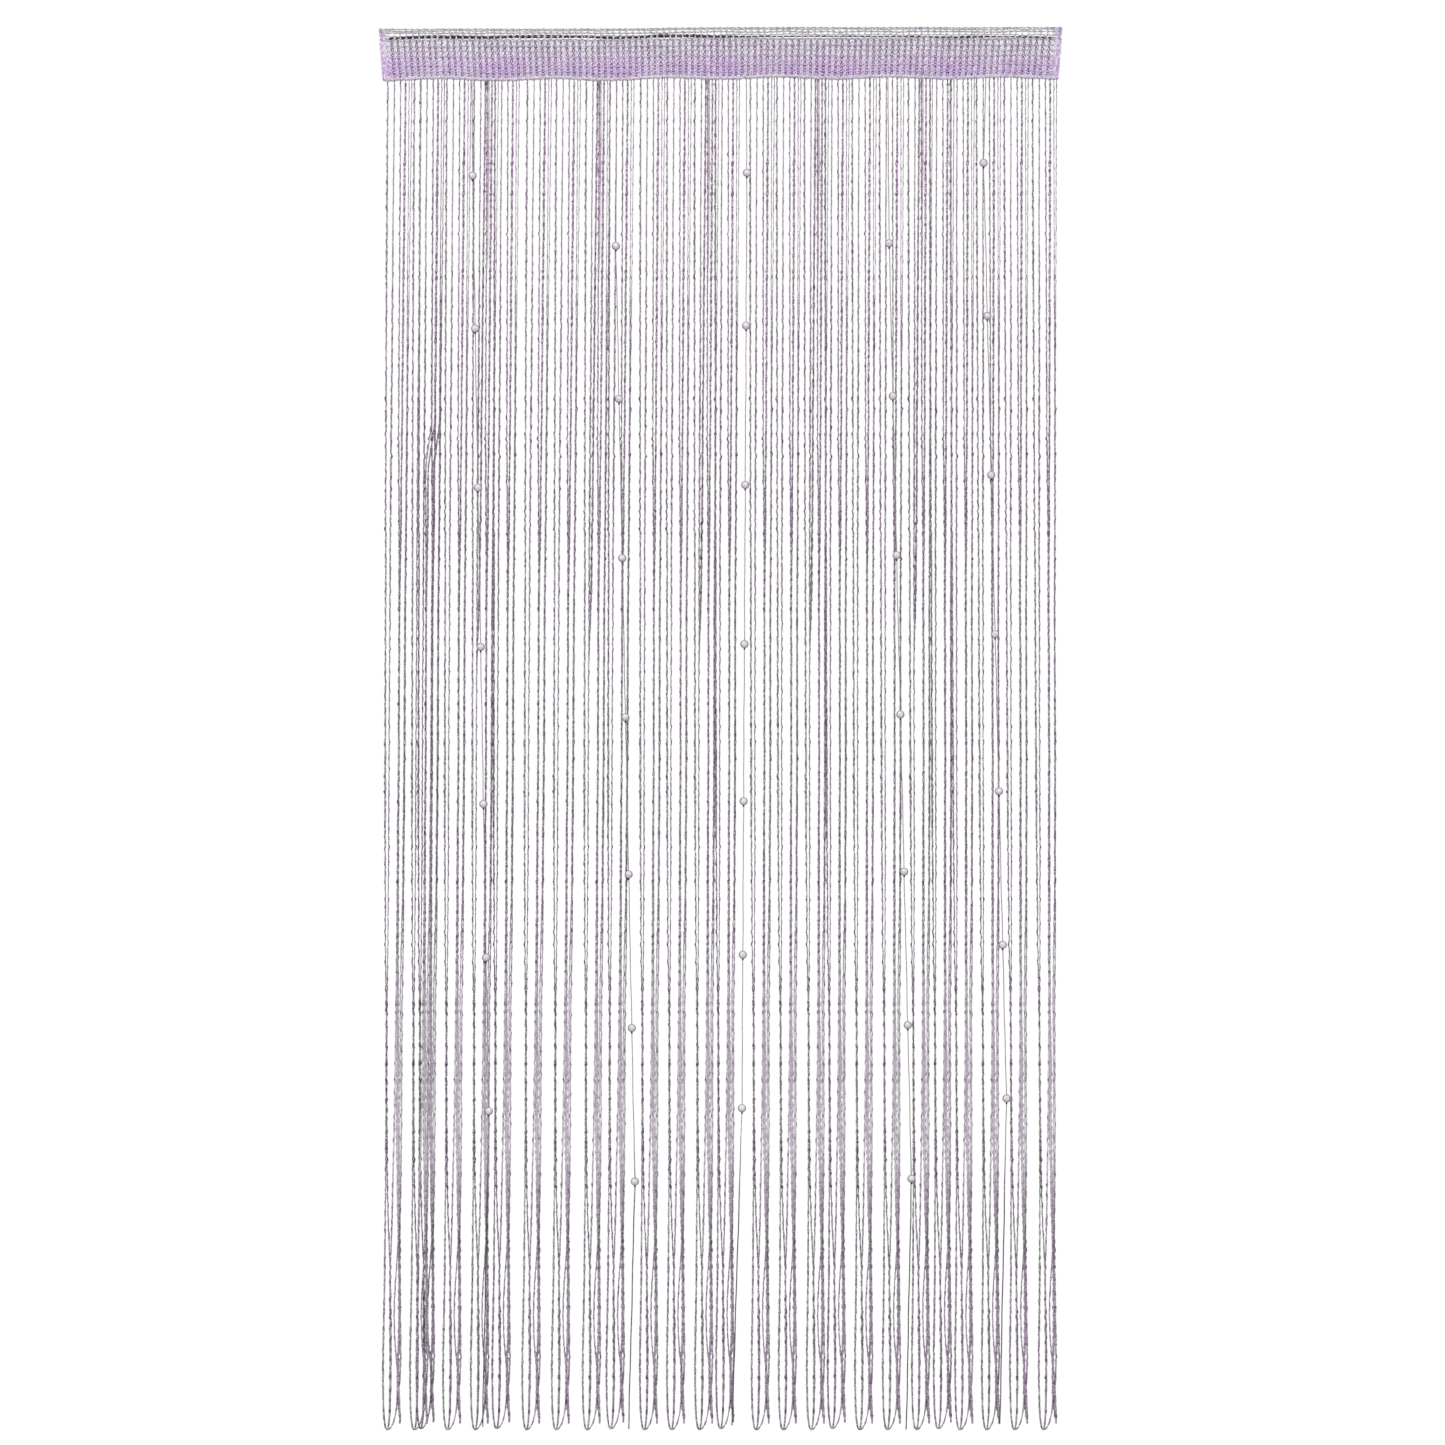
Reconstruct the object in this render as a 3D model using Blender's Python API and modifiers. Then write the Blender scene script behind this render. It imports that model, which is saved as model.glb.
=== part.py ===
"""String curtain with a net heading, a rod pocket and five strings of pearls.

Metres, +Z up. X runs along the width, and the curtain faces -Y. The origin is the middle of the top
edge of the front net, where the curtain is held. Everything hangs down from there.
"""
import math

import bmesh
import bpy
import numpy as np

MM = 0.001
GAP = 0.3 * MM

# Overall sizes of the curtain
TOTAL_DROP = 2000 * MM
TOP_WIDTH = 972 * MM
BOTTOM_WIDTH = 959 * MM
HEADING_HEIGHT = 71 * MM

# Rod pocket between the two layers of net
NET_THICKNESS = 1.2 * MM
POCKET_DEPTH = 6.0 * MM
CORD_LEVEL = 14.0 * MM
CORD_HEIGHT = 2.6 * MM
CORD_END_INSET = 10 * MM
STRIP_HEIGHT = 5.0 * MM

# Soft waves of the heading: its folds in depth and its bottom edge
WAVE_PITCH = 160 * MM
WAVE_DEPTH = 0.8 * MM
EDGE_DIP = 3.0 * MM

# Openings of the net, at twice the pitch of the real mesh
NET_COLUMNS = 54
SELVEDGE = 5.0 * MM
OPENING_SHARE = 0.66
HEADER_ROW = (3.5 * MM, 15.6 * MM)
BODY_ROWS_START = 20.0 * MM
BODY_ROWS = 3
ROW_PITCH = 14.4 * MM
ROW_OPENING = 10.0 * MM

# Strings: radius, the thick one's at each row of GROUP_PATHS_MM and at its end, and lane in depth.
# Strings that cross in front view keep to separate lanes, and a group that hangs closer than
# CLOSE_GROUP to the one before it hangs behind.
THIN_RADIUS = 0.8 * MM
THICK_RADII_MM = (1.2, 1.4, 1.3, 1.7, 2.2, 2.0, 1.9, 1.5)
ROOT_SHARE = 0.7
FRONT_ROOTS = -1.3 * MM
BACK_ROOTS = 1.3 * MM
BACK_GROUP_OFFSET = 8.2 * MM
CLOSE_GROUP = 36 * MM
LANE_A = -6.2 * MM
LANE_B = -4.2 * MM
LANE_C = -1.3 * MM

# Where each group of six strings ends at the bottom, as a distance from the middle, in mm
GROUP_TIPS_MM = (
    -473, -434.5, -426, -387.5, -348, -318, -275, -234, -190, -156, -107.5, -69, -29,
    1, 52, 90.5, 130, 160, 198.5, 237, 279.5, 311, 342, 379, 419, 460,
)
# The groups stand a little closer at the top, so each leans from its root to its tip
LEAN_AT_LEFT = 9.1 * MM
LEAN_AT_RIGHT = -7.1 * MM

# Sideways place of the six strings of a group, in mm from the group's leaning line.
# Columns: drop below the top edge, then strings P, Q, R, S (the thick one), T and U.
GROUP_PATHS_MM = (
    (70, -9.4, 0.0, 8.7, 15.0, 20.0, 24.0),
    (530, -10.0, -2.3, 7.8, 11.8, 18.2, 22.0),
    (1100, -8.3, -2.8, 10.7, 9.7, 17.4, 19.2),
    (1526, -4.7, -4.0, 6.8, 11.7, 14.4, 17.2),
    (1740, -5.8, -0.6, 3.6, 13.9, 13.4, 15.5),
    (1868, -8.1, 3.4, 1.7, 15.2, 9.0, 17.1),
    (1953, -7.4, 2.8, 2.6, 14.2, 16.4, 12.5),
)
# Last point of each string: drop in mm, place in mm
STRING_ENDS_MM = ((1998, -2.6), (1999, -1.7), (1999, 0.6), (1989, 17.0), (1991, 17.4), (1998, 1.2))
STRING_LANES = (LANE_A, LANE_B, LANE_A, LANE_C, LANE_A, LANE_B)
THICK_STRING = 3
DROP_UNEVENNESS = 2.5 * MM

# Pearl strings: they hang in front of all others
PEARL_RADIUS = 5.9 * MM
PEARL_THREAD_RADIUS = 0.6 * MM
PEARL_KNOT_RADIUS = 1.2 * MM
PEARL_LANE = -13.6 * MM
PEARL_SIDES = 6
# How far each of a string's seven pearls hangs below its first one
PEARL_STEPS_MM = (0, 217, 443, 669, 892, 1110, 1328)
THREAD_END_LANE = -9.0 * MM
# Columns, all in mm: place of the root, drop of the first pearl, place of the first and of the
# last pearl, place of the lower end, drop of the lower end
PEARL_STRINGS_MM = (
    (-353.5, 213, -352, -329, -338, 1990),
    (-148.0, 313, -148.5, -121.5, -130.5, 1993),
    (36.5, 209, 37.5, 30.5, 16.5, 1988),
    (238.0, 309, 239.5, 271.0, 264.0, 1994),
    (377.5, 195, 373.5, 406.0, 397.0, 1986),
)
# Profile of a pearl on its thread: height and radius as shares of the pearl's radius
PEARL_PROFILE = ((0.98, 0.12), (0.70, 0.72), (0.0, 1.0), (-0.70, 0.72), (-0.98, 0.12))

# Colours, linear
LILAC_NET = (0.56, 0.42, 0.66, 1)
MAUVE_YARN = (0.40, 0.30, 0.44, 1)
DARK_CORD = (0.02, 0.015, 0.03, 1)
PEARL_WHITE = (0.80, 0.76, 0.82, 1)

FRONT_BACK_FACE = NET_THICKNESS / 2
BACK_FRONT_FACE = FRONT_BACK_FACE + POCKET_DEPTH
POCKET_MIDDLE = FRONT_BACK_FACE + POCKET_DEPTH / 2
INNER_DEPTH = POCKET_DEPTH - 2 * GAP


def clear_scene():
    """Remove every object, so that the part stands alone."""
    for obj in list(bpy.data.objects):
        bpy.data.objects.remove(obj, do_unlink=True)


def material(name, colour, roughness, metallic=0.0):
    """A plain finish with one colour."""
    made = bpy.data.materials.new(name)
    made.use_nodes = True
    shader = made.node_tree.nodes["Principled BSDF"]
    shader.inputs["Base Color"].default_value = colour
    shader.inputs["Roughness"].default_value = roughness
    shader.inputs["Metallic"].default_value = metallic
    made.diffuse_color = colour
    return made


def mesh_object(name, points, faces, finish, collection):
    """An object of the given points and faces, all faces turned outwards."""
    mesh = bpy.data.meshes.new(name)
    mesh.from_pydata([tuple(p) for p in points], [], faces)
    mesh.materials.append(finish)
    shape = bmesh.new()
    shape.from_mesh(mesh)
    bmesh.ops.recalc_face_normals(shape, faces=shape.faces)
    shape.to_mesh(mesh)
    shape.free()
    obj = bpy.data.objects.new(name, mesh)
    collection.objects.link(obj)
    return obj


# Shape of the heading


def fold(x):
    """Depth of the heading's soft folds at a place along the width."""
    return WAVE_DEPTH * math.sin(2 * math.pi * x / WAVE_PITCH)


def dip(x):
    """How far the bottom edge hangs below its highest places."""
    return EDGE_DIP * (0.5 + 0.5 * math.cos(2 * math.pi * x / WAVE_PITCH))


def half_width(drop):
    """Half the heading's width at a drop below the top edge: its sides slant in."""
    share = drop / HEADING_HEIGHT
    return (TOP_WIDTH + (BOTTOM_WIDTH - TOP_WIDTH) * share) / 2


def heading_point(across, drop, depth):
    """A point of the heading: across runs from -1 to 1, and the lowest stretch follows the dips."""
    x = across * half_width(drop)
    low = max(0.0, (drop - BODY_ROWS_START) / (HEADING_HEIGHT - BODY_ROWS_START))
    return (x, depth + fold(x), -drop - dip(x) * low)


def net_columns():
    """The edges of the net's openings along the width, from -1 to 1, in pairs."""
    inner = 1 - SELVEDGE / (TOP_WIDTH / 2)
    pitch = 2 * inner / NET_COLUMNS
    bar = pitch * (1 - OPENING_SHARE) / 2
    edges = [-1.0]
    for column in range(NET_COLUMNS):
        start = -inner + column * pitch
        edges += [start + bar, start + pitch - bar]
    return edges + [1.0]


def net_rows():
    """The edges of the net's rows of openings, as drops, in pairs."""
    edges = [0.0, *HEADER_ROW]
    for row in range(BODY_ROWS):
        top = BODY_ROWS_START + row * ROW_PITCH
        edges += [top, top + ROW_OPENING]
    return edges + [HEADING_HEIGHT]


def net_layer(name, columns, rows, middle, open_cells, finish, collection):
    """A layer of net: a grid of faces, open where asked, with Solidify for its thickness."""
    points = [heading_point(c, r, middle) for r in rows for c in columns]
    wide = len(columns)
    faces = []
    for j in range(len(rows) - 1):
        for i in range(wide - 1):
            if open_cells and i % 2 and j % 2:
                continue
            first = j * wide + i
            faces.append((first, first + wide, first + wide + 1, first + 1))
    layer = mesh_object(name, points, faces, finish, collection)
    wall = layer.modifiers.new("Thickness", "SOLIDIFY")
    wall.thickness = NET_THICKNESS
    wall.offset = 0
    return layer


# Tubes and strips


def loft(centres, sizes, sides, turn=0.0):
    """Points and faces of a closed tube along centres. sizes gives each ring's radii in its two
    cross directions: in depth and in the direction across the tube."""
    centres = np.asarray(centres, float)
    along = np.gradient(centres, axis=0)
    along /= np.linalg.norm(along, axis=1)[:, None]
    deep = np.array([0.0, 1.0, 0.0]) - along * along[:, [1]]
    deep /= np.linalg.norm(deep, axis=1)[:, None]
    across = np.cross(along, deep)
    angle = turn + 2 * math.pi * np.arange(sides) / sides
    sizes = np.asarray(sizes, float)
    rings = (
        centres[:, None]
        + deep[:, None] * (np.cos(angle)[None, :] * sizes[:, [0]])[..., None]
        + across[:, None] * (np.sin(angle)[None, :] * sizes[:, [1]])[..., None]
    )
    faces = []
    for ring in range(len(centres) - 1):
        for side in range(sides):
            here = ring * sides + side
            beside = ring * sides + (side + 1) % sides
            faces.append((here, beside, beside + sides, here + sides))
    last = (len(centres) - 1) * sides
    faces.append(tuple(range(sides))[::-1])
    faces.append(tuple(last + side for side in range(sides)))
    return rings.reshape(-1, 3), faces


def joined(shapes):
    """One list of points and faces from several."""
    points, faces, start = [], [], 0
    for some_points, some_faces in shapes:
        points.extend(map(tuple, some_points))
        faces.extend(tuple(start + k for k in face) for face in some_faces)
        start += len(some_points)
    return points, faces


def heading_cord(finish, collection):
    """The dark cord along the pocket's upper edge: an oval tube that follows the folds."""
    reach = half_width(CORD_LEVEL) - CORD_END_INSET
    steps = 48
    centres = []
    for k in range(steps + 1):
        x = -reach + 2 * reach * k / steps
        centres.append((x, POCKET_MIDDLE + fold(x), -CORD_LEVEL))
    sizes = [(INNER_DEPTH / 2, CORD_HEIGHT / 2)] * len(centres)
    points, faces = loft(centres, sizes, 6)
    return mesh_object("heading_cord", points, faces, finish, collection)


def seam_strip():
    """Points and faces of the strip in the pocket's lower seam, four-sided, along the width."""
    steps = 60
    reach = half_width(HEADING_HEIGHT)
    points = []
    for k in range(steps + 1):
        x = -reach + 2 * reach * k / steps
        bottom = -HEADING_HEIGHT - dip(x)
        for y, z in (
            (-INNER_DEPTH / 2, bottom + STRIP_HEIGHT),
            (INNER_DEPTH / 2, bottom + STRIP_HEIGHT),
            (INNER_DEPTH / 2, bottom),
            (-INNER_DEPTH / 2, bottom),
        ):
            points.append((x, POCKET_MIDDLE + fold(x) + y, z))
    faces = [(0, 1, 2, 3)]
    for k in range(steps):
        for side in range(4):
            here = 4 * k + side
            beside = 4 * k + (side + 1) % 4
            faces.append((here, here + 4, beside + 4, beside))
    last = 4 * steps
    faces.append((last + 3, last + 2, last + 1, last))
    return points, faces


# Strings


def hangs_behind():
    """For each group, whether it hangs in the back plane: close groups take turns."""
    behind = [False]
    for before, here in zip(GROUP_TIPS_MM, GROUP_TIPS_MM[1:]):
        close = (here - before) * MM < CLOSE_GROUP
        behind.append(close and not behind[-1])
    return behind


def lean(tip):
    """Sideways shift of a group's line at its root, falling to nothing at its tip."""
    first, last = GROUP_TIPS_MM[0] * MM, GROUP_TIPS_MM[-1] * MM
    share = (tip - first) / (last - first)
    return LEAN_AT_LEFT + (LEAN_AT_RIGHT - LEAN_AT_LEFT) * share


def string_centres(tip, string, behind, longer):
    """Centre line of one string of a group, from inside the seam strip to its free end."""
    drops = [row[0] * MM for row in GROUP_PATHS_MM] + [STRING_ENDS_MM[string][0] * MM + longer]
    places = [row[string + 1] * MM for row in GROUP_PATHS_MM] + [STRING_ENDS_MM[string][1] * MM]
    lane = POCKET_MIDDLE + STRING_LANES[string] + (BACK_GROUP_OFFSET if behind else 0)
    centres = []
    for row, (drop, place) in enumerate(zip(drops, places)):
        x = tip + place + lean(tip) * (1 - drop / TOTAL_DROP)
        y = lane
        if row == 0:
            drop += dip(x)
            y = POCKET_MIDDLE + fold(x) + (BACK_ROOTS if behind else FRONT_ROOTS)
        centres.append((x, y, -drop))
    return centres


def string_shapes():
    """Every plain string as a slim tube: three sides, or four for the thick ones."""
    shapes = []
    for group, (tip_mm, behind) in enumerate(zip(GROUP_TIPS_MM, hangs_behind())):
        tip = tip_mm * MM
        longer = DROP_UNEVENNESS * (abs(tip) / (TOTAL_DROP / 4) - 1) * (1 if group % 2 else 0.6)
        for string in range(len(STRING_LANES)):
            thick = string == THICK_STRING
            centres = string_centres(tip, string, behind, min(longer, 0.0))
            radii = [r * MM for r in THICK_RADII_MM] if thick else [THIN_RADIUS] * len(centres)
            radii[0] *= ROOT_SHARE
            radii[-1] *= ROOT_SHARE
            sizes = [(r, r) for r in radii]
            shapes.append(loft(centres, sizes, 4 if thick else 3))
    return shapes


def string_fringe(finish, collection):
    """The seam strip with all its strings, fused at their roots into one body."""
    strip = mesh_object("string_fringe", *seam_strip(), finish, collection)
    cutters = bpy.data.collections["curtain_tools"]
    strings = mesh_object("strings_to_fuse", *joined(string_shapes()), finish, cutters)
    strings.hide_render = True
    strings.display_type = "WIRE"
    fuse = strip.modifiers.new("Fuse strings", "BOOLEAN")
    fuse.operation = "UNION"
    fuse.solver = "EXACT"
    fuse.object = strings
    return strip


def pearl_string(name, row, finish, collection):
    """A thread with a root knot and its pearls as turned swellings, all one body."""
    root, first_drop, first_place, last_place, end_place, end_drop = (value * MM for value in row)
    top = -HEADING_HEIGHT - dip(root) - GAP
    root_depth = POCKET_MIDDLE + fold(root) + FRONT_ROOTS
    lane = POCKET_MIDDLE + PEARL_LANE
    centres = [
        (root, root_depth, top),
        (root, root_depth, top - 2 * PEARL_KNOT_RADIUS),
        (root, root_depth - PEARL_KNOT_RADIUS, top - 4 * PEARL_KNOT_RADIUS),
    ]
    radii = [PEARL_KNOT_RADIUS, PEARL_KNOT_RADIUS, PEARL_THREAD_RADIUS]
    for step_mm in PEARL_STEPS_MM:
        x = first_place + (last_place - first_place) * step_mm / PEARL_STEPS_MM[-1]
        z = -first_drop - step_mm * MM
        for height, width in PEARL_PROFILE:
            centres.append((x, lane, z + height * PEARL_RADIUS))
            radii.append(width * PEARL_RADIUS)
    centres.append((end_place, POCKET_MIDDLE + THREAD_END_LANE, -end_drop))
    radii.append(PEARL_THREAD_RADIUS)
    points, faces = loft(centres, [(r, r) for r in radii], PEARL_SIDES)
    return mesh_object(name, points, faces, finish, collection)


def build():
    """Make the whole curtain."""
    clear_scene()
    curtain = bpy.data.collections.new("bead_curtain")
    tools = bpy.data.collections.new("curtain_tools")
    for collection in (curtain, tools):
        bpy.context.scene.collection.children.link(collection)
    net = material("lilac_net", LILAC_NET, 0.85)
    back_net = material("lilac_net_back", LILAC_NET, 0.85)
    cord = material("dark_cord", DARK_CORD, 0.7)
    yarn = material("mauve_yarn", MAUVE_YARN, 0.75)
    columns = net_columns()
    net_layer("net_front", columns, net_rows(), 0.0, True, net, curtain)
    back_rows = [CORD_LEVEL - CORD_HEIGHT / 2, BODY_ROWS_START, HEADING_HEIGHT]
    back_middle = BACK_FRONT_FACE + NET_THICKNESS / 2
    net_layer("net_back", columns[::2] + [1.0], back_rows, back_middle, False, back_net, curtain)
    heading_cord(cord, curtain)
    string_fringe(yarn, curtain)
    for number, row in enumerate(PEARL_STRINGS_MM, 1):
        pearl = material(f"pearl_{number}", PEARL_WHITE, 0.25)
        pearl_string(f"pearl_string_{number}", row, pearl, curtain)


build()
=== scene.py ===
# %% [markdown]
# # A string curtain with pearls
#
# This lesson dresses a finished model of a door curtain. On the real thing a lilac net tape carries a
# rod pocket, and from the seam below it hang more than a hundred fine strings, six to a group, with
# five smooth threads of pearls in front. Everything here is thread, so almost every piece is a thin
# tube that follows a path, made for hundreds of threads at once with numpy arrays.

import bpy
import numpy as np
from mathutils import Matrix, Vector


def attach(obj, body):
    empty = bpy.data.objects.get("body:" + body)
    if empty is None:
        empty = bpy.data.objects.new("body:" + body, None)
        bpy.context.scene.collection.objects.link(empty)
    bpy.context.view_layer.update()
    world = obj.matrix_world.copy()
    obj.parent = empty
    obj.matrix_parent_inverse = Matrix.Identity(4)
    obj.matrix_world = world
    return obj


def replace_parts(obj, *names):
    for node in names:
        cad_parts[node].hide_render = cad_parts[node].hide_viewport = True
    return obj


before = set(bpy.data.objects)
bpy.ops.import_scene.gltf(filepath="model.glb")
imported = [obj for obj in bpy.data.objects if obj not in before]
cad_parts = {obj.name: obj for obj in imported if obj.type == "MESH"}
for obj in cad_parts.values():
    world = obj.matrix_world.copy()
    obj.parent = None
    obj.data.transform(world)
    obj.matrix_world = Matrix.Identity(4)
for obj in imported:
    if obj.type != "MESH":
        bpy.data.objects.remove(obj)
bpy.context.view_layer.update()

MM = 0.001
BODY = "root"
print("frame nodes:", sorted(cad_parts))

# %% [markdown]
# ## One way to make every thread
#
# A thread is a path with a width. At each point of the path we set up two directions across it, walk
# round a small ring, and join the rings into a tube. A pulled or knotted yarn is the same tube with a
# width that changes, and a plied yarn is one whose ring is oval and turns as it goes. The arrays below
# hold many threads of the same length in points, so that one formula makes them all.

# %% Tubes along many paths at once


def tube_arrays(paths, widths, sides, turns=None, oval=0.0):
    """Closed tubes along paths, as points, quads, caps and UVs.

    paths is (threads, rings, 3) and widths (threads, rings) holds each ring's radius. A ring point at
    angle a lies at path + radius * (1 + oval * cos(2a - 2 * turn)) * (cos(a) * deep + sin(a) * across),
    where deep is +Y made square to the path and across is square to both. turns is the angle by which
    an oval ring has turned, (threads, rings). U runs round the thread and V along it, in metres.
    """
    threads, rings, _ = paths.shape
    along = np.gradient(paths, axis=1)
    along /= np.linalg.norm(along, axis=2, keepdims=True) + 1e-12
    deep = np.array([0.0, 1.0, 0.0]) - along * along[..., 1:2]
    deep /= np.linalg.norm(deep, axis=2, keepdims=True)
    across = np.cross(along, deep)
    angle = 2 * np.pi * np.arange(sides) / sides
    turn = np.zeros((threads, rings)) if turns is None else turns
    radius = widths[..., None] * (1 + oval * np.cos(2 * angle - 2 * turn[..., None]))
    points = (
        paths[:, :, None, :]
        + (radius * np.cos(angle))[..., None] * deep[:, :, None, :]
        + (radius * np.sin(angle))[..., None] * across[:, :, None, :]
    )
    step = np.linalg.norm(np.diff(paths, axis=1), axis=2)
    length = np.concatenate([np.zeros((threads, 1)), np.cumsum(step, axis=1)], axis=1)
    thread, ring, side = np.meshgrid(
        np.arange(threads), np.arange(rings - 1), np.arange(sides), indexing="ij"
    )
    base = (thread * rings + ring) * sides
    beside = (side + 1) % sides
    quads = np.stack([base + side, base + beside, base + beside + sides, base + side + sides], axis=-1)
    low, high = length[thread, ring], length[thread, ring + 1]
    left, right = side / sides, (side + 1) / sides
    uvs = np.stack(
        [np.stack([left, low], -1), np.stack([right, low], -1),
         np.stack([right, high], -1), np.stack([left, high], -1)], axis=-2
    )
    first = np.arange(threads)[:, None] * rings * sides + np.arange(sides)[None, :]
    last = first + (rings - 1) * sides
    return {
        "points": points.reshape(-1, 3),
        "quads": quads.reshape(-1, 4),
        "uvs": uvs.reshape(-1, 4, 2),
        "caps": np.concatenate([first[:, ::-1], last]),
    }


def joined_tubes(*parts):
    """Several tube arrays with the same number of sides as one."""
    starts = np.cumsum([0] + [len(part["points"]) for part in parts[:-1]])
    joined = {key: [] for key in parts[0]}
    for part, start in zip(parts, starts):
        for key, values in part.items():
            joined[key].append(values + start if key in ("quads", "caps") else values)
    return {key: np.concatenate(values) for key, values in joined.items()}


def thread_piece(name, tubes, material, slot, **masks):
    """One object from tube arrays. Each mask is a value for each point, kept as an attribute."""
    mesh = bpy.data.meshes.new(name)
    quads, caps = tubes["quads"], tubes["caps"]
    loops = np.concatenate([quads.ravel(), caps.ravel()]).astype(np.int32)
    totals = np.concatenate([np.full(len(quads), 4), np.full(len(caps), caps.shape[1])]).astype(np.int32)
    starts = np.concatenate([[0], np.cumsum(totals)[:-1]]).astype(np.int32)
    mesh.vertices.add(len(tubes["points"]))
    mesh.vertices.foreach_set("co", tubes["points"].astype(np.float32).ravel())
    mesh.loops.add(len(loops))
    mesh.loops.foreach_set("vertex_index", loops)
    mesh.polygons.add(len(totals))
    mesh.polygons.foreach_set("loop_start", starts)
    mesh.polygons.foreach_set("loop_total", totals)
    mesh.polygons.foreach_set("use_smooth", np.ones(len(totals), dtype=bool))
    layer = mesh.uv_layers.new(name="Thread")
    flat = np.concatenate([tubes["uvs"].reshape(-1, 2), np.zeros((caps.size, 2))])
    layer.uv.foreach_set("vector", flat.astype(np.float32).ravel())
    for mask, values in masks.items():
        kept = mesh.attributes.new(mask, "FLOAT", "POINT")
        kept.data.foreach_set("value", np.clip(values, 0, 1).astype(np.float32).ravel())
    mesh.update(calc_edges=True)
    mesh.validate()
    mesh.materials.append(material)
    piece = bpy.data.objects.new(name, mesh)
    bpy.context.scene.collection.objects.link(piece)
    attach(piece, BODY)
    print(name, "has", int((totals - 2).sum()), "triangles")
    return piece


# %% [markdown]
# ## Finishes
#
# Yarn is never one colour. Its fibres are dyed in stretches, and this yarn carries a fine metallic
# filament. The small shadows its plies throw on each other are painted into its colour as shade, the
# filament's glints as painted highlights, and the places where it looks nearly black as painted dark
# reflections. One node group makes the masks for all of that, partly from the thread's own UV map,
# where U runs round the thread and V along it in metres. Each yarn then mixes its own colours with the
# masks.

# %% A node group for plied yarn


def feed(links, node, slot, value):
    """Link a socket to an input, or set the input to a number or colour."""
    if isinstance(value, bpy.types.NodeSocket):
        links.new(value, node.inputs[slot])
    elif isinstance(value, tuple):
        node.inputs[slot].default_value = (*value, 1.0)
    else:
        node.inputs[slot].default_value = value


def maths(tree, operation, *values):
    """The output of a Math node fed by sockets or numbers."""
    node = tree.nodes.new("ShaderNodeMath")
    node.operation = operation
    for slot, value in enumerate(values):
        feed(tree.links, node, slot, value)
    return node.outputs[0]


def noise(tree, scale, detail=2.0, stretch=None):
    """The value of a Noise node on Object coordinates, drawn out across a hanging thread by stretch."""
    place = tree.nodes.new("ShaderNodeTexCoord").outputs["Object"]
    if stretch is not None:
        squeeze = tree.nodes.new("ShaderNodeCombineXYZ")
        for slot, value in enumerate((stretch, stretch, 1.0)):
            feed(tree.links, squeeze, slot, value)
        product = tree.nodes.new("ShaderNodeVectorMath")
        product.operation = "MULTIPLY"
        feed(tree.links, product, 0, place)
        feed(tree.links, product, 1, squeeze.outputs[0])
        place = product.outputs[0]
    node = tree.nodes.new("ShaderNodeTexNoise")
    feed(tree.links, node, "Vector", place)
    feed(tree.links, node, "Scale", scale)
    feed(tree.links, node, "Detail", detail)
    return node.outputs["Fac"]


def step(tree, value, low, high):
    """A soft step of a value: 0 at low, 1 at high."""
    node = tree.nodes.new("ShaderNodeMapRange")
    node.interpolation_type = "SMOOTHSTEP"
    feed(tree.links, node, "Value", value)
    feed(tree.links, node, "From Min", low)
    feed(tree.links, node, "From Max", high)
    return node.outputs["Result"]


def mixed(tree, share, first, second):
    """A Mix node for colours: first where share is 0, second where it is 1."""
    node = tree.nodes.new("ShaderNodeMix")
    node.data_type = "RGBA"
    for slot, value in ((0, share), (6, first), (7, second)):
        feed(tree.links, node, slot, value)
    return node.outputs[2]


# Where the noises of flecks, glints and dye begin and end their steps
DARK_STEP, GLINT_STEP, CLOUD_STEP = (0.52, 0.60), (0.46, 0.38), (0.35, 0.65)
FLECK_DETAIL, CLOUD_DETAIL = 0.8, 3.0


def plied_yarn_group():
    """Masks of a plied yarn: Ply, the grooves between its two plies, a sine of angle and length, which
    leads the bump and the painted shade in the grooves; Dark and Glint, from one noise, which lead the
    painted dark reflections and painted highlights of the metallic filament; Cloud, slow change of dye."""
    group = bpy.data.node_groups.new("Plied yarn", "ShaderNodeTree")
    for name, value in (("Twist", 700.0), ("Fleck scale", 430.0), ("Stretch", 0.25), ("Cloud scale", 30.0)):
        group.interface.new_socket(name=name, in_out="INPUT", socket_type="NodeSocketFloat")
        group.interface.items_tree[name].default_value = value
    for name in ("Ply", "Dark", "Glint", "Cloud"):
        group.interface.new_socket(name=name, in_out="OUTPUT", socket_type="NodeSocketFloat")
    given = group.nodes.new("NodeGroupInput")
    put = group.nodes.new("NodeGroupOutput")
    uv = group.nodes.new("ShaderNodeUVMap")
    uv.uv_map = "Thread"
    split = group.nodes.new("ShaderNodeSeparateXYZ")
    group.links.new(uv.outputs["UV"], split.inputs[0])
    around = maths(group, "MULTIPLY", split.outputs["X"], 4 * np.pi)
    along = maths(group, "MULTIPLY", split.outputs["Y"], given.outputs["Twist"])
    wave = maths(group, "SINE", maths(group, "ADD", around, along))
    fleck = noise(group, given.outputs["Fleck scale"], FLECK_DETAIL, given.outputs["Stretch"])
    cloud = noise(group, given.outputs["Cloud scale"], CLOUD_DETAIL)
    group.links.new(maths(group, "MULTIPLY_ADD", wave, 0.5, 0.5), put.inputs["Ply"])
    group.links.new(step(group, fleck, *DARK_STEP), put.inputs["Dark"])
    group.links.new(step(group, fleck, *GLINT_STEP), put.inputs["Glint"])
    group.links.new(step(group, cloud, *CLOUD_STEP), put.inputs["Cloud"])
    return group


PLIED_YARN = plied_yarn_group()
FLUFF_COLOUR = (0.94, 0.86, 0.96)
# How metallic a full glint is, how much it takes off the roughness, and how deep the grooves look
GLINT_METAL, GLINT_POLISH, GROOVE_DEPTH = 0.6, 0.3, 0.3 * MM


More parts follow.
